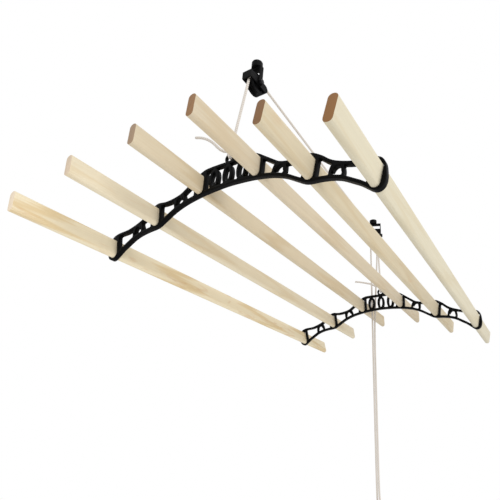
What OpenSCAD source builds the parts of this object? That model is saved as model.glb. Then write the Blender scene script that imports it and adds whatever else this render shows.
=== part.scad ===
// Ceiling mounted pulley rack: six wooden laths carried by two cast-iron rack ends, each hung
// on a cord that runs over ceiling pulleys and down to a cleat hook. Millimetres, +Z up.
// The origin lies in the ceiling plane above the middle of the rack, +X towards the single pulley.

/* [Laths] */
// Length of each lath
lath_length = 1220; // [1000:10:1500]
// Height of a lath's section
lath_height = 43; // [38:0.5:44]
// Thickness of a lath's section
lath_thickness = 15; // [10:0.5:17]
// Height of the two middle laths below the ceiling
rack_drop = 341; // [330:1:420]

/* [Rack ends] */
// Distance from the middle of the rack to each rack end
rack_end_x = 421.5; // [415:0.5:422]
// Depth of the casting along the laths
casting_depth = 11; // [8:0.5:12]
// Thickness of the top and bottom rails
rail = 6.5; // [5:0.5:7]
// Width of a slot for a lath
slot_width = 18; // [17.5:0.5:19]
// Height of a slot for a lath
slot_height = 45; // [44.5:0.5:46]
// Width of the slim bars between the rails
bar = 5; // [4:0.5:5.5]

/* [Pulleys] */
// Outer radius of a pulley wheel
rim_radius = 26; // [26:0.5:27]
// Radius at the middle of the cord on a wheel
cord_on_wheel = 23; // [23:0.5:24]
// Thickness of a pulley wheel
wheel_width = 16; // [12:1:16]
// Radius of an axle
axle_radius = 4; // [3:0.5:5]
// Depth of the axles below the ceiling
axle_drop = 64; // [64:1:70]
// Wall thickness of a cage
cage_wall = 3; // [2.5:0.5:4]
// Height of a cage
cage_height = 20; // [18:1:22]
// Radius of the round boss that meets the ceiling
boss_radius = 13; // [12:0.5:15]
// Radius of the tapped hole in a boss, for a hanger screw
stud_hole_radius = 3.4; // [3:0.1:4.2]

/* [Cords and cleat] */
// Diameter of the cords
cord_diameter = 6; // [5:0.5:6]
// Depth of the cleat's centre below the ceiling
cleat_drop = 1015; // [1000:5:1200]
// Length of the cleat's horns, tip to tip
cleat_length = 112; // [100:2:130]

/* [Hidden] */
$fn = 48;

gap = 0.3;
running_fit = 0.05;

// Slots on one side of the rack end, from the middle out: [across, height, lean outwards].
slots = [[68, 0, 2], [182, -44, 9], [298, -94, 13.5]];
// The laths are not quite level end to end: how far each is pushed along X, lath 1 to lath 6.
lath_shift = [35, 16, -13, -10, -34, -26];

// Top and bottom edges of one side of the rack end, from the middle out.
top_edge = [
    [0, 33], [50, 33], [68, 28], [87, 15], [109, -1], [120, -8], [139, -13], [160, -15],
    [183, -13], [204, -25], [219, -38], [235, -47], [262, -56], [285, -58], [298, -60.5],
    [308, -66], [313.5, -78], [314, -98]
];
bottom_edge = [
    [0, -21], [25, -22], [50, -24], [72, -27], [104, -34], [132, -45], [155, -59], [175, -70],
    [200, -73], [218, -76], [232, -80], [243, -85], [259, -95], [270, -102], [282, -112],
    [290, -118.5], [299, -121], [308, -116], [312.5, -107]
];

// Centres of the three oval links in the middle of the rack end.
link_pitch = 33.5;
link_centre_z = 3;
link_half = [12, 24];
link_hole_half = [5.4, 16.5];

// Curved bars between the slots: [across, height, lean outwards, bulge to the outside].
curved_bars = [
    [108, -19, 20, -1], [131.5, -29, 9, 1],
    [220.5, -59, 19, -1], [243, -70, 5, 1]
];
curved_bar_radius = 30;
// Round-topped openings between each pair of curved bars: [across, height, lean outwards].
arches = [[119.7, -27, 16], [231.7, -67, 14]];
arch_width = 20;
arch_hole_half = [7.5, 11.5];

ring_centre_z = 42;
ring_radius = 12;
ring_hole_radius = 6.5;
ring_depth = 7.5;

single_at = [373, 4];
double_at = [-441, -25];
double_yaw = 20;
double_pitch = 24;
cage_side_gap = 1;
cage_back = 32;
cage_front = 33;
strap = 3;
strap_width = 11;
boss_height = 16;
bridge_height = 5;
stud_hole_depth = 14;
axle_head_radius = 7;
axle_head = 3.5;
nut_height = 5;
nut_radius = 6.5;

cord_radius = cord_diameter / 2;
groove_radius = cord_on_wheel - cord_radius - gap;
cord_sides = 8;

// Where the two hanging cords meet the knots on the rings.
knot_z = ring_centre_z + ring_radius + 11;
front_knot_at = [rack_end_x, 0, knot_z - rack_drop];
back_knot_at = [-rack_end_x, 0, knot_z - rack_drop];
knot_radius = 7.5;
knot_top = [0, 0, knot_radius + 1];
knot_eye_z = (ring_radius + ring_hole_radius) / 2;
knot_eye_radius = 8.2;

cleat_at = [-478, -42, -cleat_drop];
cleat_plate = [26, 70, 4];
cleat_stem_radius = 8;
cleat_stem = 27;
cleat_bar = 10;
cleat_screw_spacing = 50;
cleat_screw_radius = 2.5;
hitch_radius = 14.4;
hitch_turn_radius = cleat_stem_radius + cord_radius + 0.2;

// Tails of the knots, as [across, height above the middle laths] on each ring.
front_tail = [
    [-4, 64], [-14, 64.5], [-25, 70], [-38, 83], [-52, 99], [-66, 112], [-80, 122], [-93, 129], [-106, 134]
];
back_tail = [[-4, 66], [-14, 70], [-26, 75], [-38, 79], [-50, 83], [-62, 87], [-78, 92], [-94, 96]];

// ---- functions ----

// A point on the smooth curve between b and c; a and d are the points before and after.
function on_curve(a, b, c, d, t) =
    0.5 * (2 * b + (c - a) * t + (2 * a - 5 * b + 4 * c - d) * t * t
        + (3 * b - a - 3 * c + d) * t * t * t);

function smooth(p, steps) =
    let (last = len(p) - 1)
    concat(
        [for (i = [0:last - 1], k = [0:steps - 1])
            on_curve(p[max(i - 1, 0)], p[i], p[i + 1], p[min(i + 2, last)], k / steps)],
        [p[last]]
    );

// One side of an edge, continued to the other side of the middle.
function both_sides(p) =
    concat([for (i = [len(p) - 1:-1:1]) [-p[i][0], p[i][1]]], p);

function reversed(p) = [for (i = [len(p) - 1:-1:0]) p[i]];

function unit(v) = v / norm(v);

// A path moved sideways by t, to the right of its direction.
function moved(p, t) =
    let (last = len(p) - 1)
    [for (i = [0:last])
        let (d = unit(p[min(i + 1, last)] - p[max(i - 1, 0)]))
        p[i] + t * [d[1], -d[0]]];

function ellipse_points(half) =
    [for (a = [0:7.5:359]) [half[0] * cos(a), half[1] * sin(a)]];

function direction(p, i) =
    let (last = len(p) - 1)
    unit(p[min(i + 1, last)] - p[max(i - 1, 0)]);

// The ring of corners of a cord around point i of its route.
function cord_ring(p, i, r) =
    let (
        d = direction(p, i),
        side = unit(abs(d[2]) > 0.9 ? cross([0, 1, 0], d) : cross([0, 0, 1], d)),
        other = cross(d, side)
    )
    [for (k = [0:cord_sides - 1])
        let (a = 360 * k / cord_sides)
        p[i] + r * (cos(a) * side + sin(a) * other)];

// ---- cord routes ----

// A point on the cord round a wheel; turn 0 is the side away from the rack, 90 the top.
function on_wheel(at, yaw, offset, turn) =
    let (reach = -cord_on_wheel * cos(turn))
    [
        at[0] + reach * cos(yaw) - offset * sin(yaw),
        at[1] + reach * sin(yaw) + offset * cos(yaw),
        -axle_drop + cord_on_wheel * sin(turn)
    ];

front_drop = [
    on_wheel(single_at, 0, 0, 180),
    front_knot_at + knot_top + [0, 0, 12],
    front_knot_at + knot_top
];
back_drop = [
    on_wheel(double_at, double_yaw, double_pitch / 2, 180),
    back_knot_at + knot_top + [0, 0, 12],
    back_knot_at + knot_top
];

line_route = concat(
    [for (turn = [180:-15:90]) on_wheel(single_at, 0, 0, turn)],
    [[350, 3.1, -41], [200, -2.7, -42.5], [0, -10.5, -43.5], [-200, -18.3, -42.5]],
    [[-380, -24.8, -41.3], [-402, -26.2, -41], [-420, -30.2, -41]],
    [for (turn = [90:-15:0]) on_wheel(double_at, double_yaw, -double_pitch / 2, turn)],
    [[-458.5, -44.5, -90], [-458.5, -46, -250], [-459, -48, -420]],
    [[-460, -50, -600], [-461, -51.5, -800], [-463, -52.5, -940]],
    [cleat_at + [7.5, -hitch_turn_radius, 10]]
);

haul_route = concat(
    [for (turn = [180:-15:0]) on_wheel(double_at, double_yaw, double_pitch / 2, turn)],
    [[-466.5, -22, -90], [-465.5, -26.5, -180], [-463.5, -36, -320], [-462, -41.5, -430]],
    [[-462.2, -43.6, -600], [-462.8, -45.2, -800], [-463, -45.5, -900], [-461, -43, -950]],
    [cleat_at + [cleat_stem, hitch_turn_radius, 10]]
);

// ---- shared modules ----

module along_x(depth) {
    rotate([90, 0, 90]) linear_extrude(depth, center = true) children();
}

// A cord: one closed tube along a route.
module cord(route, r = cord_radius) {
    rings = [for (i = [0:len(route) - 1]) each cord_ring(route, i, r)];
    n = cord_sides;
    last = len(route) - 1;
    polyhedron(
        points = rings,
        faces = concat(
            [[for (k = [0:n - 1]) k]],
            [for (i = [0:last - 1], k = [0:n - 1])
                [i * n + k, (i + 1) * n + k, (i + 1) * n + (k + 1) % n, i * n + (k + 1) % n]],
            [[for (k = [n - 1:-1:0]) last * n + k]]
        )
    );
}

// ---- rack ends ----

module for_each_slot() {
    for (s = slots, side = [-1, 1])
        translate([side * s[0], s[1]]) rotate(-side * s[2]) children();
}

module slot_shape() {
    r = slot_width / 2;
    square([slot_width, slot_height - slot_width], center = true);
    for (end = [-1, 1])
        translate([0, end * (slot_height / 2 - r)]) circle(r);
}

module curved_bar(across, height, lean, bulge) {
    for (side = [-1, 1])
        translate([side * across, height]) rotate(-side * lean)
            intersection() {
                translate([-side * bulge * curved_bar_radius, 0])
                    difference() {
                        circle(curved_bar_radius + bar / 2);
                        circle(curved_bar_radius - bar / 2);
                    }
                square([20, 44], center = true);
            }
}

module arch(across, height, lean) {
    for (side = [-1, 1])
        translate([side * across, height]) rotate(-side * lean)
            difference() {
                translate([-arch_width / 2, 0]) square([arch_width, arch_width]);
                polygon(ellipse_points(arch_hole_half));
            }
}

module rack_end_outline() {
    polygon(concat(
        smooth(both_sides(top_edge), 4),
        reversed(smooth(both_sides(bottom_edge), 4))
    ));
}

module between_rails() {
    polygon(concat(
        moved(smooth(both_sides(top_edge), 4), rail),
        reversed(moved(smooth(both_sides(bottom_edge), 4), -rail))
    ));
}

module rack_end_profile() {
    difference() {
        rack_end_outline();
        difference() {
            between_rails();
            for_each_slot() square([slot_width + 2 * bar + 1, 90], center = true);
            for (b = curved_bars) curved_bar(b[0], b[1], b[2], b[3]);
            for (a = arches) arch(a[0], a[1], a[2]);
            for (k = [-1:1]) translate([k * link_pitch, link_centre_z])
                difference() {
                    polygon(ellipse_points(link_half));
                    polygon(ellipse_points(link_hole_half));
                }
        }
        for_each_slot() slot_shape();
    }
}

module rack_end(x) {
    color("#1b1b1d") translate([x, 0, -rack_drop]) {
        along_x(casting_depth) rack_end_profile();
        difference() {
            union() {
                translate([0, 0, ring_centre_z]) rotate([0, 90, 0])
                    cylinder(r = ring_radius, h = ring_depth, center = true);
                along_x(ring_depth) polygon([[-19, 31], [-9.5, 36], [9.5, 36], [19, 31]]);
            }
            translate([0, 0, ring_centre_z]) rotate([0, 90, 0])
                cylinder(r = ring_hole_radius, h = casting_depth, center = true);
        }
    }
}

// ---- laths ----

module lath(i) {
    s = slots[i < 3 ? 2 - i : i - 3];
    side = i < 3 ? -1 : 1;
    round_edge = lath_thickness / 2 - 0.5;
    slot_play = (slot_height - lath_height) / 2 - running_fit;
    color("#dcc9a4")
        translate([lath_shift[i], side * s[0], s[1] - rack_drop])
            rotate([-side * s[2], 0, 0])
                translate([0, 0, -slot_play])
                    along_x(lath_length) {
                        square([lath_thickness, lath_height - 2 * round_edge], center = true);
                        square([lath_thickness - 2 * round_edge, lath_height], center = true);
                        for (y = [-1, 1], z = [-1, 1])
                            translate([
                                y * (lath_thickness / 2 - round_edge),
                                z * (lath_height / 2 - round_edge)
                            ]) circle(round_edge);
                    }
}

// ---- pulleys ----

// Half the width of a cage that holds a number of wheels side by side.
function cage_half(wheels) =
    (wheels - 1) * double_pitch / 2 + wheel_width / 2 + cage_side_gap + cage_wall;

module at_single() {
    translate([single_at[0], single_at[1], 0]) children();
}

module at_double() {
    translate([double_at[0], double_at[1], 0]) rotate(double_yaw) children();
}

module axle_line(h, r) {
    translate([0, 0, -axle_drop]) rotate([90, 0, 0]) cylinder(r = r, h = h, center = true);
}

module hanger(wheels) {
    inside = cage_half(wheels) + gap;
    span = 2 * (inside + strap);
    eye = strap_width / 2 + 2;
    difference() {
        union() {
            translate([0, 0, -boss_height]) cylinder(r = boss_radius, h = boss_height);
            translate([-strap_width / 2, -span / 2, -boss_height - bridge_height])
                cube([strap_width, span, bridge_height + 1]);
            for (side = [-1, 1]) {
                translate([-strap_width / 2, side * (inside + strap / 2) - strap / 2, -axle_drop])
                    cube([strap_width, strap, axle_drop - boss_height]);
                translate([0, side * (inside + strap / 2), -axle_drop]) rotate([90, 0, 0])
                    cylinder(r = eye, h = strap, center = true);
            }
        }
        translate([0, 0, -stud_hole_depth]) cylinder(r = stud_hole_radius, h = stud_hole_depth + 1);
        axle_line(span + 2, axle_radius + running_fit);
    }
}

// An open box, square at the front and round at the back, with a web between its wheels.
module cage(wheels) {
    half = cage_half(wheels);
    inner = half - cage_wall;
    web = double_pitch - wheel_width - 2 * cage_side_gap;
    round_back = 10;
    translate([0, 0, -axle_drop]) difference() {
        union() {
            translate([-cage_back + round_back, -half, -cage_height / 2 + 2])
                cube([cage_back + cage_front - round_back, 2 * half, cage_height]);
            translate([-cage_back + round_back, 0, 2]) rotate([90, 0, 0])
                cylinder(r = cage_height / 2, h = 2 * half, center = true);
        }
        difference() {
            translate([-cage_back + cage_wall, -inner, -cage_height])
                cube([cage_back + cage_front - 2 * cage_wall, 2 * inner, 2 * cage_height]);
            if (wheels > 1)
                translate([-cage_back, -web / 2, -cage_height])
                    cube([cage_back + cage_front, web, 2 * cage_height]);
        }
        rotate([90, 0, 0]) cylinder(r = axle_radius + running_fit, h = 4 * half, center = true);
    }
}

// A pin with a round head at one end; the nut goes on the other end.
module axle(wheels) {
    outside = cage_half(wheels) + gap + strap;
    axle_line(2 * outside, axle_radius);
    translate([0, -outside, -axle_drop]) rotate([90, 0, 0]) cylinder(r = axle_head_radius, h = axle_head);
    translate([0, outside, -axle_drop]) rotate([-90, 0, 0]) cylinder(r = axle_radius - 0.5, h = nut_height);
}

module axle_nut(wheels) {
    translate([0, cage_half(wheels) + gap + strap, -axle_drop]) rotate([-90, 0, 0]) difference() {
        cylinder(r = nut_radius, h = nut_height, $fn = 6);
        translate([0, 0, -1]) cylinder(r = axle_radius - 0.5, h = nut_height + 2);
    }
}

module wheel(offset) {
    bore = axle_radius + running_fit;
    groove_depth = rim_radius - groove_radius;
    groove_half = cord_radius + 0.6;
    rim_half = wheel_width / 2;
    translate([0, offset, -axle_drop]) rotate([90, 0, 0]) rotate_extrude() difference() {
        translate([bore, -rim_half]) square([rim_radius - bore, wheel_width]);
        translate([groove_radius + groove_half, 0]) circle(groove_half);
        polygon([
            [groove_radius + groove_half, -groove_half],
            [rim_radius + 1, -rim_half + 1.5],
            [rim_radius + 1, rim_half - 1.5],
            [groove_radius + groove_half, groove_half]
        ]);
        for (face = [-1, 1])
            translate([bore + 5, face * rim_half - (face > 0 ? 2.5 : 0)])
                square([groove_radius - bore - 8, 2.5]);
    }
}

// ---- knots ----

// An overhand knot standing on the ring, with a loop through the eye and a loose tail.
module knot(at, tail) {
    translate(at) sphere(knot_radius);
    translate(at) cylinder(r = cord_radius, h = knot_top[2]);
    translate([at[0], 0, ring_centre_z + knot_eye_z - rack_drop])
        rotate([90, 0, 0]) rotate_extrude()
            translate([knot_eye_radius, 0]) circle(cord_radius, $fn = 24);
    cord([for (p = tail) [at[0], p[0], p[1] - rack_drop]], cord_radius * 0.95);
}

// ---- cleat ----

module cleat() {
    translate(cleat_at) rotate([0, 90, 0]) {
        difference() {
            union() {
                translate([-(cleat_plate[1] - cleat_plate[0]) / 2, -cleat_plate[0] / 2, 0])
                    cube([cleat_plate[1] - cleat_plate[0], cleat_plate[0], cleat_plate[2]]);
                for (end = [-1, 1])
                    translate([end * (cleat_plate[1] - cleat_plate[0]) / 2, 0, 0])
                        cylinder(d = cleat_plate[0], h = cleat_plate[2]);
            }
            for (end = [-1, 1])
                translate([end * cleat_screw_spacing / 2, 0, -1]) cylinder(r = cleat_screw_radius, h = 10);
        }
        cylinder(r = cleat_stem_radius, h = cleat_plate[2] + cleat_stem + 1);
        translate([0, 0, cleat_plate[2] + cleat_stem + cleat_bar / 2]) {
            rotate([0, 90, 0]) cylinder(r = cleat_bar / 2, h = cleat_length - cleat_bar, center = true);
            for (end = [-1, 1])
                translate([end * (cleat_length - cleat_bar) / 2, 0, 0]) sphere(cleat_bar / 2);
        }
    }
}

module cleat_hitch() {
    inner = cleat_stem_radius + 0.2;
    height = cleat_stem - 2;
    translate(cleat_at + [cleat_plate[2] + 1, 0, 0]) rotate([0, 90, 0]) rotate_extrude() {
        translate([inner, 2]) square([hitch_radius - inner, height - 4]);
        translate([inner, 0]) square([hitch_radius - inner - 2, height]);
        for (z = [2, height - 2]) translate([hitch_radius - 2, z]) circle(2);
    }
}

// ---- the assembly ----

rack_end(rack_end_x);  // rack_end_front
rack_end(-rack_end_x);  // rack_end_back
for (i = [0:5])
    lath(i);
color("#161618") at_single() hanger(1);  // single_hanger
color("#1b1b1d") at_single() cage(1);  // single_cage
color("#3a3a3c") at_single() axle(1);  // single_axle
color("#202022") at_single() wheel(0);  // single_wheel
color("#161618") at_double() hanger(2);  // double_hanger
color("#1b1b1d") at_double() cage(2);  // double_cage
color("#3a3a3c") at_double() axle(2);  // double_axle
color("#202022") at_double() wheel(double_pitch / 2);  // double_wheel_rack_cord
color("#202022") at_double() wheel(-double_pitch / 2);  // double_wheel_line_cord
color("#3a3a3c") {  // axle_nuts
    at_single() axle_nut(1);
    at_double() axle_nut(2);
}
color("#cdbfa6") cord(front_drop);  // front_drop_cord
color("#cdbfa6") cord(back_drop);  // back_drop_cord
color("#cdbfa6") knot(front_knot_at, front_tail);  // front_knot
color("#cdbfa6") knot(back_knot_at, back_tail);  // back_knot
color("#cdbfa6") cord(line_route);  // line_cord
color("#cdbfa6") cord(haul_route);  // haul_cord
color("#161618") cleat();
color("#cdbfa6") cleat_hitch();
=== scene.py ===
import math

import bmesh
import bpy
from mathutils import Matrix, Vector


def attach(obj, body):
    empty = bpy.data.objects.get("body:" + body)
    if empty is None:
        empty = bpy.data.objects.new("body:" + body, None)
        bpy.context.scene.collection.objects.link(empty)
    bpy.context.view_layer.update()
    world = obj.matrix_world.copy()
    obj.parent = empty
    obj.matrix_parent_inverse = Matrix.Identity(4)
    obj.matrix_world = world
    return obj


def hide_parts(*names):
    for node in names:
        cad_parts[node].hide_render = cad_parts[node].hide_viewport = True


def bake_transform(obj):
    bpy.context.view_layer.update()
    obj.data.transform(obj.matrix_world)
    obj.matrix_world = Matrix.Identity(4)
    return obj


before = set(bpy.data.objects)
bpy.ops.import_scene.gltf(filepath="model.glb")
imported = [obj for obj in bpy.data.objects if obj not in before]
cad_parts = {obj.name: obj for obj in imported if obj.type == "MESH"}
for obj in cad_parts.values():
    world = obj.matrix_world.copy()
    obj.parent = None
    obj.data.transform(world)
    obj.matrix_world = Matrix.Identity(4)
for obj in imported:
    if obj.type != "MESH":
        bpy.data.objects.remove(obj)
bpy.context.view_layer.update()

# ---------------------------------------------------------------- room and camera
# A pale floor well below the rack, white studio light from all round with a large soft key
# above the single pulley's side, and a camera that looks up at the rack from below its end.
scene = bpy.context.scene
scene.view_settings.view_transform = "Standard"


def plain_material(name, colour, roughness):
    mat = bpy.data.materials.new(name)
    mat.use_nodes = True
    shader = mat.node_tree.nodes["Principled BSDF"]
    shader.inputs["Base Color"].default_value = (*colour, 1)
    shader.inputs["Roughness"].default_value = roughness
    return mat


def lay_floor(height=-2.3, half=4.0):
    bm = bmesh.new()
    bmesh.ops.create_grid(bm, x_segments=1, y_segments=1, size=half)
    bmesh.ops.translate(bm, verts=bm.verts, vec=(0, 0, height))
    mesh = bpy.data.meshes.new("floor")
    bm.to_mesh(mesh)
    bm.free()
    floor = bpy.data.objects.new("floor", mesh)
    mesh.materials.append(plain_material("floor_paint", (0.86, 0.86, 0.86), 0.7))
    scene.collection.objects.link(floor)


def soft_light(name, place, size, power):
    data = bpy.data.lights.new(name, "AREA")
    data.size = size
    data.energy = power
    light = bpy.data.objects.new(name, data)
    light.location = place
    aim = Vector((0, 0, -0.35)) - Vector(place)
    light.rotation_euler = aim.to_track_quat("-Z", "Y").to_euler()
    scene.collection.objects.link(light)


def light_room():
    world = bpy.data.worlds.new("studio")
    world.use_nodes = True
    tree = world.node_tree
    seen = tree.nodes["Background"]
    seen.inputs["Color"].default_value = (1, 1, 1, 1)
    seen.inputs["Strength"].default_value = 1.0
    glow = tree.nodes.new("ShaderNodeBackground")
    glow.inputs["Color"].default_value = (0.97, 0.98, 1.0, 1)
    glow.inputs["Strength"].default_value = 0.72
    path = tree.nodes.new("ShaderNodeLightPath")
    mix = tree.nodes.new("ShaderNodeMixShader")
    tree.links.new(path.outputs["Is Camera Ray"], mix.inputs[0])
    tree.links.new(glow.outputs[0], mix.inputs[1])
    tree.links.new(seen.outputs[0], mix.inputs[2])
    tree.links.new(mix.outputs[0], tree.nodes["World Output"].inputs["Surface"])
    scene.world = world
    soft_light("key", (1.9, 2.4, 0.9), 1.6, 30)
    soft_light("side", (-0.6, 2.6, -1.4), 1.5, 14)
    soft_light("low", (1.8, -0.6, -2.0), 1.2, 8)


def place_camera():
    data = bpy.data.cameras.new("camera")
    data.sensor_width = 36
    data.lens = 31.3
    data.shift_x = -0.088
    data.shift_y = 0.032
    camera = bpy.data.objects.new("camera", data)
    camera.location = (0.953, 0.481, -0.825)
    camera.rotation_euler = [math.radians(a) for a in (113.25, -2.24, 120.45)]
    scene.collection.objects.link(camera)
    scene.camera = camera


lay_floor()
light_room()
place_camera()


# ---------------------------------------------------------------- cords
# Two 6 mm three-strand cotton cords. One rises from the front ring over the single wheel and
# along to the double pulley, the other over its second wheel. Both go down to the cleat hook.
MM = 0.001
CORD = 6.0
STRANDS = 3
ON_WHEEL = 23.0
AXLE_Z = -64.0
SINGLE = (373, 4)
DOUBLE = (-441, -25)
DOUBLE_YAW = math.radians(20)
WHEEL_PITCH = 24.0
RACK_Z = -341.0
RING_X = 421.5
KNOT_Z = RACK_Z + 65
KNOT_TOP_Z = KNOT_Z + 8.5
CLEAT = (-478, -42, -1015)
CLEAT_TURN_RADIUS = 11.2
CLEAT_TURN_PITCH = 6.3
CLEAT_TURN_STEPS = 12
# The valley colour is painted shade in the creases between the strands; the crown colour is the
# cotton's own.
VALLEY_PAINTED_SHADE = (0.40, 0.345, 0.285)
CROWN_TONE = (0.77, 0.705, 0.63)


def cotton():
    """Undyed cotton: strands turn round the cord, with painted shade darkening the valleys between
    them, and fine crossing fibres.
    """
    mat = bpy.data.materials.new("cotton")
    mat.use_nodes = True
    nodes, links = mat.node_tree.nodes, mat.node_tree.links
    shader = nodes["Principled BSDF"]
    shader.inputs["Roughness"].default_value = 0.9
    shader.inputs["Sheen Weight"].default_value = 0.25
    shader.inputs["Sheen Roughness"].default_value = 0.6
    shader.inputs["Specular IOR Level"].default_value = 0.2
    uv = nodes.new("ShaderNodeUVMap")
    uv.uv_map = "strands"
    split = nodes.new("ShaderNodeSeparateXYZ")
    links.new(uv.outputs[0], split.inputs[0])
    # How high each point stands on its strand: 0 in the valley, 1 on the crown.
    turn = nodes.new("ShaderNodeMath")
    turn.operation = "MULTIPLY"
    turn.inputs[1].default_value = STRANDS * math.pi
    crown = nodes.new("ShaderNodeMath")
    crown.operation = "COSINE"
    height = nodes.new("ShaderNodeMath")
    height.operation = "ABSOLUTE"
    links.new(split.outputs[0], turn.inputs[0])
    links.new(turn.outputs[0], crown.inputs[0])
    links.new(crown.outputs[0], height.inputs[0])
    # Painted shade: the valleys between the strands are painted darker than the crowns.
    tone = nodes.new("ShaderNodeValToRGB")
    tone.color_ramp.elements[0].position = 0.0
    tone.color_ramp.elements[0].color = (*VALLEY_PAINTED_SHADE, 1)
    tone.color_ramp.elements[1].position = 0.55
    tone.color_ramp.elements[1].color = (*CROWN_TONE, 1)
    links.new(height.outputs[0], tone.inputs[0])
    fibres = nodes.new("ShaderNodeTexNoise")
    fibres.inputs["Scale"].default_value = 1.0
    fibres.inputs["Detail"].default_value = 4
    stretch = nodes.new("ShaderNodeMapping")
    stretch.inputs["Scale"].default_value = (60, 900, 1)
    links.new(uv.outputs[0], stretch.inputs["Vector"])
    links.new(stretch.outputs[0], fibres.inputs["Vector"])
    patch = nodes.new("ShaderNodeTexNoise")
    patch.inputs["Scale"].default_value = 22
    coord = nodes.new("ShaderNodeTexCoord")
    links.new(coord.outputs["Object"], patch.inputs["Vector"])
    shade = nodes.new("ShaderNodeMath")
    shade.operation = "MULTIPLY_ADD"
    shade.inputs[1].default_value = 0.22
    shade.inputs[2].default_value = 0.82
    links.new(fibres.outputs["Fac"], shade.inputs[0])
    worn = nodes.new("ShaderNodeMath")
    worn.operation = "MULTIPLY_ADD"
    worn.inputs[1].default_value = 0.18
    links.new(patch.outputs["Fac"], worn.inputs[0])
    links.new(shade.outputs[0], worn.inputs[2])
    tint = nodes.new("ShaderNodeVectorMath")
    tint.operation = "SCALE"
    links.new(tone.outputs[0], tint.inputs[0])
    links.new(worn.outputs[0], tint.inputs["Scale"])
    links.new(tint.outputs[0], shader.inputs["Base Color"])
    bump = nodes.new("ShaderNodeBump")
    bump.inputs["Strength"].default_value = 0.35
    bump.inputs["Distance"].default_value = 0.0004
    links.new(fibres.outputs["Fac"], bump.inputs["Height"])
    links.new(bump.outputs[0], shader.inputs["Normal"])
    return mat


COTTON = cotton()


def on_curve(a, b, c, d, t):
    """The point at share t of the way from b to c, on a smooth line through all four."""
    return 0.5 * (
        2 * b + (c - a) * t + (2 * a - 5 * b + 4 * c - d) * t * t + (3 * b - a - 3 * c + d) * t ** 3
    )


def even_path(points, step):
    """A smooth line through the points, in millimetres, cut into even steps."""
    points = [Vector(p) for p in points]
    dense = []
    for i in range(len(points) - 1):
        a, b = points[max(i - 1, 0)], points[i]
        c, d = points[i + 1], points[min(i + 2, len(points) - 1)]
        parts = max(4, int((c - b).length / step * 2))
        dense += [on_curve(a, b, c, d, k / parts) for k in range(parts)]
    dense.append(points[-1])
    even, spare = [dense[0]], 0.0
    for b, c in zip(dense, dense[1:]):
        run = (c - b).length
        while spare + run >= step:
            share = (step - spare) / run
            b = b.lerp(c, share)
            even.append(b.copy())
            run = (c - b).length
            spare = 0.0
        spare += run
    if (even[-1] - dense[-1]).length > step * 0.3:
        even.append(dense[-1])
    else:
        even[-1] = dense[-1]
    return even


def twisted_cord(name, points, step=1.5, lay=21.0, sides=15, ease=0):
    """A laid cord along the points, with its strands in the mesh, and its path in metres.

    Each pass of ease takes some of the sharpness out of its bends.
    """
    valley, crown = 0.84, 0.18
    path = even_path(points, step)
    for _ in range(ease):
        inner = [(a + 2 * b + c) / 4 for a, b, c in zip(path, path[1:], path[2:])]
        path = [path[0]] + inner + [path[-1]]
    bm = bmesh.new()
    strand_uv = bm.loops.layers.uv.new("strands")
    rings, turns = [], []
    side = Vector((0, 1, 0))
    along = 0.0
    for i, p in enumerate(path):
        ahead = (path[min(i + 1, len(path) - 1)] - path[max(i - 1, 0)]).normalized()
        side = (side - ahead * side.dot(ahead)).normalized()
        other = ahead.cross(side)
        twist = 2 * math.pi * along / lay
        ring = []
        for k in range(sides):
            a = 2 * math.pi * k / sides
            lobe = valley + crown * abs(math.cos((a - twist) * STRANDS / 2))
            r = CORD / 2 * lobe
            ring.append(bm.verts.new((p + side * math.cos(a) * r + other * math.sin(a) * r) * MM))
        rings.append(ring)
        turns.append((along, twist))
        if i + 1 < len(path):
            along += (path[i + 1] - p).length
    for i in range(len(rings) - 1):
        for k in range(sides):
            j = (k + 1) % sides
            face = bm.faces.new((rings[i][k], rings[i][j], rings[i + 1][j], rings[i + 1][k]))
            face.smooth = True
            corners = ((i, k), (i, k + 1), (i + 1, k + 1), (i + 1, k))
            for loop, (row, column) in zip(face.loops, corners):
                s, twist = turns[row]
                loop[strand_uv].uv = (column / sides - twist / (2 * math.pi), s * MM)
    bm.faces.new(reversed(rings[0]))
    bm.faces.new(rings[-1])
    bmesh.ops.recalc_face_normals(bm, faces=bm.faces)
    mesh = bpy.data.meshes.new(name)
    bm.to_mesh(mesh)
    bm.free()
    mesh.materials.append(COTTON)
    cord = bpy.data.objects.new(name, mesh)
    scene.collection.objects.link(cord)
    return cord, [p * MM for p in path]


def declare(cord, body):
    """Attaches the cord to its body, if it is given one."""
    if body:
        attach(cord, body)


def on_wheel(at, yaw, offset, degrees):
    """A point on the cord round a wheel: 0 is the side away from the rack, 90 the top."""
    turn = math.radians(degrees)
    reach = -ON_WHEEL * math.cos(turn)
    return (
        at[0] + reach * math.cos(yaw) - offset * math.sin(yaw),
        at[1] + reach * math.sin(yaw) + offset * math.cos(yaw),
        AXLE_Z + ON_WHEEL * math.sin(turn),
    )


def on_cleat(x, hand):
    """One turn round the cleat's stem, from its side at x, then a short tail that hangs down."""
    coil = []
    for k in range(CLEAT_TURN_STEPS + 1):
        a = 2 * math.pi * k / CLEAT_TURN_STEPS
        coil.append((
            x + hand * CLEAT_TURN_PITCH * k / CLEAT_TURN_STEPS,
            CLEAT[1] - hand * CLEAT_TURN_RADIUS * math.cos(a),
            CLEAT[2] - CLEAT_TURN_RADIUS * math.sin(a),
        ))
    last = coil[-1]
    tail_drops = ((0, 10), (0.5, 22), (1.5, 36))
    tail = [(last[0], last[1] - hand * out, last[2] - down) for out, down in tail_drops]
    return coil + tail


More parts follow.
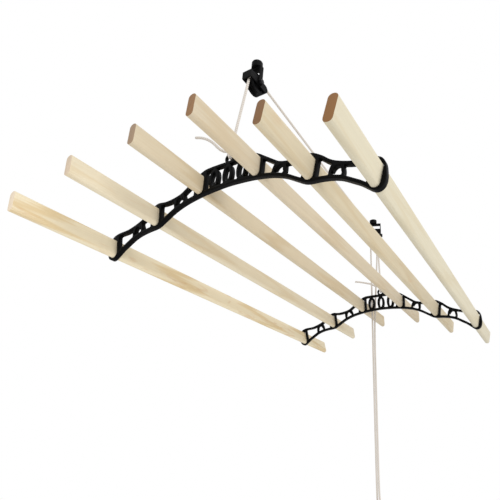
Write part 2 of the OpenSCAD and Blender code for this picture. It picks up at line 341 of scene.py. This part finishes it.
single_run = [on_wheel(SINGLE, 0, 0, a) for a in range(180, 89, -15)]
level_run = [
    (350, 3.1, -41), (200, -2.7, -42.5), (0, -10.5, -43.5), (-200, -18.3, -42.5),
    (-380, -24.8, -41.3), (-402, -26.2, -41), (-420, -30.2, -41),
]
line_round = [on_wheel(DOUBLE, DOUBLE_YAW, -WHEEL_PITCH / 2, a) for a in range(90, -1, -15)]
line_fall = [
    (-458.5, -44.5, -90), (-458.5, -46, -250), (-459, -48, -420), (-460, -50, -600),
    (-461, -51.5, -800), (-463, -52.5, -940), (-470.5, -53.2, -1005),
]
line_points = single_run + level_run + line_round + line_fall
line_cord, path = twisted_cord("line_cord_laid", line_points + on_cleat(line_points[-1][0], 1))
declare(line_cord, "fixings")
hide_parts("line_cord", "cleat_hitch")

haul_round = [on_wheel(DOUBLE, DOUBLE_YAW, WHEEL_PITCH / 2, a) for a in range(180, -1, -15)]
haul_fall = [
    (-466.5, -22, -90), (-465.5, -26.5, -180), (-463.5, -36, -320), (-462, -41.5, -430),
    (-462.2, -43.6, -600), (-462.8, -45.2, -800), (-463, -45.5, -900), (-461, -43, -950),
    (-451, -30.8, -1005),
]
haul_points = haul_round + haul_fall
haul_cord, path = twisted_cord("haul_cord_laid", haul_points + on_cleat(haul_points[-1][0], -1))
declare(haul_cord, "fixings")
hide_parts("haul_cord")


def hanging_cord(name, top, ring_x):
    """The part of a cord between its wheel and its knot: it is paid out as the rack goes down."""
    foot = (ring_x, 0, KNOT_TOP_Z)
    points = [top] + [
        tuple(Vector(top).lerp(Vector(foot), share)) for share in (0.2, 0.4, 0.6, 0.8)
    ] + [foot]
    cord, path = twisted_cord(name, points)
    declare(cord, None)
    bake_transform(cord)
    return cord


front_drop = hanging_cord("front_drop_cord_laid", single_run[0], RING_X)
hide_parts("front_drop_cord")
back_drop = hanging_cord("back_drop_cord_laid", haul_round[0], -RING_X)
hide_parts("back_drop_cord")


# ---------------------------------------------------------------- knots
# Each cord passes through the ring's eye and is wound round itself in a tight knot, and its cut
# end is left loose.
RING_BAR_Z = RACK_Z + 51.25
LOOP_RADIUS = 8.8
WRAP_RADIUS = 6.8
WRAP_PITCH = 5.5
WRAP_STEPS = 12
WRAPS = 2


def ring_knot(name, x, tail):
    """A loop round the top of the ring, then wraps up round the cord and a loose tail."""
    points = [(x, 0, KNOT_TOP_Z), (x, 0, KNOT_Z + 2), (x + 1, 0, KNOT_Z - 4)]
    for degrees in range(40, -181, -20):
        a = math.radians(degrees)
        points.append((x + LOOP_RADIUS * math.cos(a), 0, RING_BAR_Z + LOOP_RADIUS * math.sin(a)))
    for k in range(WRAPS * WRAP_STEPS + 1):
        a = math.pi + 2 * math.pi * k / WRAP_STEPS
        climb = KNOT_Z - 5 + WRAP_PITCH * k / WRAP_STEPS
        points.append((x + WRAP_RADIUS * math.cos(a), WRAP_RADIUS * math.sin(a), climb))
    points += [(x - 5.5, -8, KNOT_Z + 5), (x - 3, -17, KNOT_Z + 2)]
    points += [(x, y, RACK_Z + z) for y, z in tail]
    cord, path = twisted_cord(name, points, ease=6)
    declare(cord, "rack")
    return cord


front_knot = ring_knot("front_knot_laid", RING_X, [
    (-27, 72), (-38, 83), (-52, 99), (-66, 112), (-80, 122), (-93, 129), (-106, 134),
])
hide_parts("front_knot")
back_knot = ring_knot("back_knot_laid", -RING_X, [
    (-27, 73), (-38, 79), (-50, 83), (-62, 87), (-78, 92), (-94, 96),
])
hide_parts("back_knot")


# ---------------------------------------------------------------- laths
# Six planed pine laths with fully rounded edges, sawn square and left unvarnished. They are
# pushed through the slots of both rack ends and are held by their own weight.
LATH = (1220, 15, 43)
LATH_EDGE = 6.9
SAWN_EDGE = 0.5
LATH_SAG = 0.95
RESIN = (0.66, 0.37, 0.15)


def pine(name, seed, face, end, streak, resinous):
    """Pine with its grain along X and resin patches; the sawn ends show darker end grain."""
    mat = bpy.data.materials.new(name)
    mat.use_nodes = True
    nodes, links = mat.node_tree.nodes, mat.node_tree.links
    shader = nodes["Principled BSDF"]
    shader.inputs["Specular IOR Level"].default_value = 0.3
    coord = nodes.new("ShaderNodeTexCoord")

    def pattern(kind, scale, **values):
        place = nodes.new("ShaderNodeMapping")
        place.inputs["Scale"].default_value = scale
        place.inputs["Location"].default_value = (seed * 3.1, seed * 1.7, seed * 2.3)
        links.new(coord.outputs["Object"], place.inputs["Vector"])
        tex = nodes.new(kind)
        for key, value in values.items():
            tex.inputs[key].default_value = value
        links.new(place.outputs[0], tex.inputs["Vector"])
        return tex

    fine = pattern("ShaderNodeTexNoise", (9, 700, 700), Scale=1.0, Detail=5.0, Roughness=0.6)
    broad = pattern("ShaderNodeTexNoise", (1.6, 60, 45), Scale=1.0, Detail=3.0, Distortion=0.6)
    rings = pattern("ShaderNodeTexWave", (0.55, 16, 22), Scale=1.6, Distortion=7.0, Detail=3.0)
    blush = pattern("ShaderNodeTexNoise", (14, 60, 60), Scale=1.0, Detail=3.0, Distortion=0.8)

    def mixed(amount, first, second, kind="MIX"):
        mix = nodes.new("ShaderNodeMix")
        mix.data_type = "RGBA"
        mix.blend_type = kind
        for value, index in ((amount, 0), (first, 6), (second, 7)):
            if hasattr(value, "is_linked"):
                links.new(value, mix.inputs[index])
            elif index == 0:
                mix.inputs[0].default_value = value
            else:
                mix.inputs[index].default_value = (*value, 1)
        return mix.outputs[2]

    def levels(source, low, high, bottom=0.0, top=1.0):
        step = nodes.new("ShaderNodeMapRange")
        step.inputs["From Min"].default_value = low
        step.inputs["From Max"].default_value = high
        step.inputs["To Min"].default_value = bottom
        step.inputs["To Max"].default_value = top
        links.new(source, step.inputs["Value"])
        return step.outputs[0]

    late_wood = tuple(c * k for c, k in zip(face, (0.88, 0.78, 0.62)))
    pale = tuple(min(1.0, c * 1.05) for c in face)
    colour = mixed(levels(broad.outputs["Fac"], 0.35, 0.68), pale, face)
    colour = mixed(levels(rings.outputs["Fac"], 0.70, 1.0, 0.0, streak), colour, late_wood)
    colour = mixed(levels(fine.outputs["Fac"], 0.45, 0.75, 0.0, 0.35), colour, late_wood)
    colour = mixed(levels(blush.outputs["Fac"], 0.58, 0.76, 0.0, resinous), colour, RESIN)
    arcs = pattern("ShaderNodeTexWave", (1, 180, 90), Scale=1.0, Distortion=1.5, Detail=2.0)
    end_dark = tuple(c * 0.78 for c in end)
    end_colour = mixed(levels(arcs.outputs["Fac"], 0.3, 1.0, 0.0, 0.7), end, end_dark)
    facing = nodes.new("ShaderNodeSeparateXYZ")
    links.new(coord.outputs["Normal"], facing.inputs[0])
    reach = nodes.new("ShaderNodeMath")
    reach.operation = "ABSOLUTE"
    links.new(facing.outputs[0], reach.inputs[0])
    sawn = levels(reach.outputs[0], 0.55, 0.8)
    links.new(mixed(sawn, colour, end_colour), shader.inputs["Base Color"])
    links.new(levels(fine.outputs["Fac"], 0.3, 0.7, 0.5, 0.66), shader.inputs["Roughness"])
    bump = nodes.new("ShaderNodeBump")
    bump.inputs["Strength"].default_value = 0.25
    bump.inputs["Distance"].default_value = 0.0003
    links.new(fine.outputs["Fac"], bump.inputs["Height"])
    links.new(bump.outputs[0], shader.inputs["Normal"])
    return mat


def planed_lath(name, centre, lean):
    """A lath at its centre in millimetres. Lean tips its top towards +Y, in degrees."""
    bm = bmesh.new()
    bmesh.ops.create_cube(bm, size=1)
    bmesh.ops.scale(bm, verts=bm.verts, vec=Vector(LATH) * MM)
    long_edges = [e for e in bm.edges if abs((e.verts[0].co - e.verts[1].co).x) > 0.5]
    bmesh.ops.bevel(
        bm, geom=long_edges, offset=LATH_EDGE * MM, segments=8, profile=0.5,
        affect="EDGES", material=-1,
    )
    rim = [e for e in bm.edges if abs(e.verts[0].co.x - e.verts[1].co.x) < 1e-6]
    bmesh.ops.bevel(
        bm, geom=rim, offset=SAWN_EDGE * MM, segments=2, profile=0.5, affect="EDGES", material=-1,
    )
    for face in bm.faces:
        face.smooth = True
    turn = Matrix.Rotation(math.radians(-lean), 4, "X")
    bmesh.ops.transform(bm, verts=bm.verts, matrix=Matrix.Translation(Vector(centre) * MM) @ turn)
    bmesh.ops.recalc_face_normals(bm, faces=bm.faces)
    mesh = bpy.data.meshes.new(name)
    bm.to_mesh(mesh)
    bm.free()
    mesh.set_sharp_from_angle(angle=math.radians(40))
    lath = bpy.data.objects.new(name, mesh)
    scene.collection.objects.link(lath)
    return lath


LATHS = [
    # pushed along X, across, height, lean, face, sawn end, strength of the grain and of the resin
    (35, -298, -94, -13.5, (0.90, 0.785, 0.56), (0.95, 0.79, 0.59), 0.90, 0.50),
    (16, -182, -44, -9, (0.84, 0.74, 0.545), (0.83, 0.66, 0.48), 0.40, 0.10),
    (-13, -68, 0, -2, (0.715, 0.61, 0.435), (0.48, 0.33, 0.21), 0.45, 0.08),
    (-10, 68, 0, 2, (0.735, 0.63, 0.46), (0.37, 0.20, 0.093), 0.35, 0.08),
    (-34, 182, -44, 9, (0.735, 0.635, 0.45), (0.26, 0.135, 0.06), 0.35, 0.20),
    (-26, 298, -94, 13.5, (0.725, 0.66, 0.495), (0.29, 0.14, 0.05), 0.25, 0.05),
]
for number, (shift, across, height, lean, *wood) in enumerate(LATHS, 1):
    tilt = math.radians(lean)
    sag = Vector((0, -math.sin(tilt), -math.cos(tilt))) * LATH_SAG
    centre = Vector((shift, across, RACK_Z + height)) + sag
    lath = planed_lath("lath_%d_planed" % number, centre, lean)
    lath.data.materials.append(pine("pine_%d" % number, number, *wood))
    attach(lath, "rack")
    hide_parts("lath_%d" % number)


# ---------------------------------------------------------------- rack ends
# Sand-cast iron arches, stove-enamelled black. Every bar is drafted and rounded as it left the
# sand, and the ring on top is cast on for the cord.
IRON_DEPTH = 11.0
IRON_EDGE = 1.3
RING_DEPTH = 7.5
RING_EDGE = 2.4
RING_CENTRE = 42.0
RAIL_TOP = 32.5


def cast_iron(name, tone, grain=420.0, gloss=(0.34, 0.52)):
    """Black enamel over sand-cast iron: faint orange peel and duller patches."""
    mat = bpy.data.materials.new(name)
    mat.use_nodes = True
    nodes, links = mat.node_tree.nodes, mat.node_tree.links
    shader = nodes["Principled BSDF"]
    shader.inputs["Specular IOR Level"].default_value = 0.08
    coord = nodes.new("ShaderNodeTexCoord")
    peel = nodes.new("ShaderNodeTexNoise")
    peel.inputs["Scale"].default_value = grain
    peel.inputs["Detail"].default_value = 4
    patch = nodes.new("ShaderNodeTexNoise")
    patch.inputs["Scale"].default_value = 38
    patch.inputs["Detail"].default_value = 3
    for tex in (peel, patch):
        links.new(coord.outputs["Object"], tex.inputs["Vector"])
    hue = nodes.new("ShaderNodeValToRGB")
    hue.color_ramp.elements[0].position = 0.35
    hue.color_ramp.elements[0].color = (*[c * 0.75 for c in tone], 1)
    hue.color_ramp.elements[1].position = 0.7
    hue.color_ramp.elements[1].color = (*[c * 1.5 for c in tone], 1)
    links.new(patch.outputs["Fac"], hue.inputs[0])
    links.new(hue.outputs[0], shader.inputs["Base Color"])
    rough = nodes.new("ShaderNodeMapRange")
    rough.inputs["From Min"].default_value = 0.3
    rough.inputs["From Max"].default_value = 0.7
    rough.inputs["To Min"].default_value = gloss[0]
    rough.inputs["To Max"].default_value = gloss[1]
    links.new(patch.outputs["Fac"], rough.inputs["Value"])
    links.new(rough.outputs[0], shader.inputs["Roughness"])
    bump = nodes.new("ShaderNodeBump")
    bump.inputs["Strength"].default_value = 0.3
    bump.inputs["Distance"].default_value = 0.0004
    links.new(peel.outputs["Fac"], bump.inputs["Height"])
    links.new(bump.outputs[0], shader.inputs["Normal"])
    return mat


RACK_IRON = cast_iron("rack_iron_enamel", (0.0011, 0.0011, 0.0012))


def cap_outlines(node, x):
    """The closed outlines of a casting's flat face at x, as lists of (across, height) in metres."""
    bm = bmesh.new()
    bm.from_mesh(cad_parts[node].data)
    bmesh.ops.remove_doubles(bm, verts=bm.verts, dist=1e-6)
    cap = {f for f in bm.faces if f.normal.x > 0.99 and abs(f.calc_center_median().x - x) < 1e-4}
    rim = {e for f in cap for e in f.edges if sum(g in cap for g in e.link_faces) == 1}
    outlines = []
    while rim:
        edge = rim.pop()
        start, vert = edge.verts
        outline = [start.co.yz, vert.co.yz]
        while vert is not start:
            edge = next(e for e in vert.link_edges if e in rim)
            rim.discard(edge)
            vert = edge.other_vert(vert)
            outline.append(vert.co.yz)
        outlines.append([Vector(p) for p in outline[:-1]])
    bm.free()
    return outlines


def softened(outline, step=1.3 * MM, passes=3):
    """The same closed outline in even steps, with its corners rounded as in a sand mould."""
    size = len(outline)
    total = sum((outline[(i + 1) % size] - outline[i]).length for i in range(size))
    count = max(12, int(total / step))
    pace, points = total / count, []
    travelled, target = 0.0, 0.0
    for i in range(size):
        a, b = outline[i], outline[(i + 1) % size]
        run = (b - a).length
        while target < travelled + run - 1e-9 and len(points) < count:
            points.append(a.lerp(b, (target - travelled) / run))
            target += pace
        travelled += run
    for _ in range(passes):
        points = [
            points[i - 1] * 0.25 + points[i] * 0.5 + points[(i + 1) % len(points)] * 0.25
            for i in range(len(points))
        ]
    return points


def cast_plate(outlines, x, depth, round_edge):
    """A plate between outlines in the YZ plane, with rounded edges. Returns a mesh."""
    curve = bpy.data.curves.new("plate", "CURVE")
    curve.dimensions = "2D"
    curve.fill_mode = "BOTH"
    curve.extrude = depth / 2 - round_edge
    curve.bevel_depth = round_edge
    curve.bevel_resolution = 3
    curve.offset = -round_edge
    for outline in outlines:
        spline = curve.splines.new("POLY")
        spline.points.add(len(outline) - 1)
        for point, (across, height) in zip(spline.points, outline):
            point.co = (across, height, 0, 1)
        spline.use_cyclic_u = True
    holder = bpy.data.objects.new("plate", curve)
    scene.collection.objects.link(holder)
    shaped = holder.evaluated_get(bpy.context.evaluated_depsgraph_get())
    mesh = bpy.data.meshes.new_from_object(shaped)
    bpy.data.objects.remove(holder)
    bpy.data.curves.remove(curve)
    upright = Matrix(((0, 0, 1, x), (1, 0, 0, 0), (0, 1, 0, 0), (0, 0, 0, 1)))
    mesh.transform(upright)
    return mesh


def ring_outlines(outer=12.0, eye=6.5, foot=21.0, foot_drop=4.5, hug=35, flare_steps=6):
    """The ring on top of the arch, flared into the rail, and its eye. Hug is in degrees."""
    outside = []
    for degrees in range(-hug, 181 + hug, 6):
        a = math.radians(degrees)
        outside.append((outer * math.cos(a), RING_CENTRE + outer * math.sin(a)))
    a = math.radians(-hug)
    waist_y, waist_z = outer * math.cos(a), RING_CENTRE + outer * math.sin(a)
    flare = []
    for k in range(1, flare_steps + 1):
        t = k / flare_steps
        out = t * t
        down = 1 - (1 - t) ** 2
        flare.append((-(waist_y + (foot - waist_y) * out), waist_z + (RAIL_TOP - waist_z) * down))
    left = flare + [(-foot, RAIL_TOP - foot_drop)]
    right = [(-y, z) for y, z in reversed(left)]
    body = outside + left + right
    hole = []
    for degrees in range(0, 360, 8):
        a = math.radians(degrees)
        hole.append((eye * math.cos(a), RING_CENTRE + eye * math.sin(a)))
    return [[Vector((y * MM, (z + RACK_Z) * MM)) for y, z in outline] for outline in (body, hole)]


def rack_end(node, x):
    """One casting: the arch, round the openings that the CAD gives it, and its ring."""
    arch = [softened(outline) for outline in cap_outlines(node, (x + IRON_DEPTH / 2) * MM)]
    plates = [
        cast_plate(arch, x * MM, IRON_DEPTH * MM, IRON_EDGE * MM),
        cast_plate(ring_outlines(), x * MM, RING_DEPTH * MM, RING_EDGE * MM),
    ]
    bm = bmesh.new()
    for plate in plates:
        bm.from_mesh(plate)
        bpy.data.meshes.remove(plate)
    bmesh.ops.remove_doubles(bm, verts=bm.verts, dist=2e-6)
    bmesh.ops.recalc_face_normals(bm, faces=bm.faces)
    for face in bm.faces:
        face.smooth = True
    mesh = bpy.data.meshes.new(node + "_cast")
    bm.to_mesh(mesh)
    bm.free()
    mesh.set_sharp_from_angle(angle=math.radians(50))
    mesh.materials.append(RACK_IRON)
    casting = bpy.data.objects.new(node + "_cast", mesh)
    scene.collection.objects.link(casting)
    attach(casting, "rack")
    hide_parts(node)


rack_end("rack_end_front", RING_X)
rack_end("rack_end_back", -RING_X)


# ---------------------------------------------------------------- pulley hangers and cages
# Each pulley hangs from a round boss with two straps, tapped for its stud in the ceiling. An open
# cage on the axle pin keeps the cord in place. Both are cast and enamelled black.
PULLEY_IRON = cast_iron(
    "pulley_iron_enamel", (0.0022, 0.0021, 0.0022), grain=520.0, gloss=(0.38, 0.55)
)


def eased(node, body, material, width, segments=3):
    """The CAD node's own shape with its edges rounded, by a width in millimetres."""
    bm = bmesh.new()
    bm.from_mesh(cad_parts[node].data)
    bmesh.ops.remove_doubles(bm, verts=bm.verts, dist=1e-6)
    bmesh.ops.dissolve_limit(bm, angle_limit=math.radians(0.6), verts=bm.verts, edges=bm.edges)
    for face in bm.faces:
        face.smooth = True
    mesh = bpy.data.meshes.new(node + "_cast")
    bm.to_mesh(mesh)
    bm.free()
    mesh.materials.append(material)
    piece = bpy.data.objects.new(node + "_cast", mesh)
    scene.collection.objects.link(piece)
    bevel = piece.modifiers.new("eased", "BEVEL")
    bevel.width = width * MM
    bevel.segments = segments
    bevel.limit_method = "ANGLE"
    bevel.angle_limit = math.radians(40)
    mesh.set_sharp_from_angle(angle=math.radians(60))
    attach(piece, body)
    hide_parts(node)


for node in ("single_hanger", "double_hanger", "single_cage", "double_cage"):
    eased(node, "fixings", PULLEY_IRON, 1.0)


# ---------------------------------------------------------------- cleat hook
# A stem and a bar with two horns on an oval plate, cast in one piece and enamelled black. Two
# screws hold it to the wall, and both cords are made fast on it.
eased("cleat", "fixings", PULLEY_IRON, 1.2)


# ---------------------------------------------------------------- wheels
# Three cast-iron wheels with a groove for the cord, bored for the axle pin. Each is turned by its
# cord as the rack goes up or down.
for node in ("single_wheel", "double_wheel_rack_cord", "double_wheel_line_cord"):
    eased(node, node, PULLEY_IRON, 0.7)


# ---------------------------------------------------------------- axle pins and nuts
# Blackened steel pins that pass through the straps, the cage and the wheels, with a nut on the
# end of each.
AXLE_STEEL = cast_iron("blackened_steel", (0.03, 0.03, 0.033), grain=900.0, gloss=(0.28, 0.4))
AXLE_STEEL.node_tree.nodes["Principled BSDF"].inputs["Metallic"].default_value = 0.9
for node in ("single_axle", "double_axle", "axle_nuts"):
    eased(node, "fixings", AXLE_STEEL, 0.7)
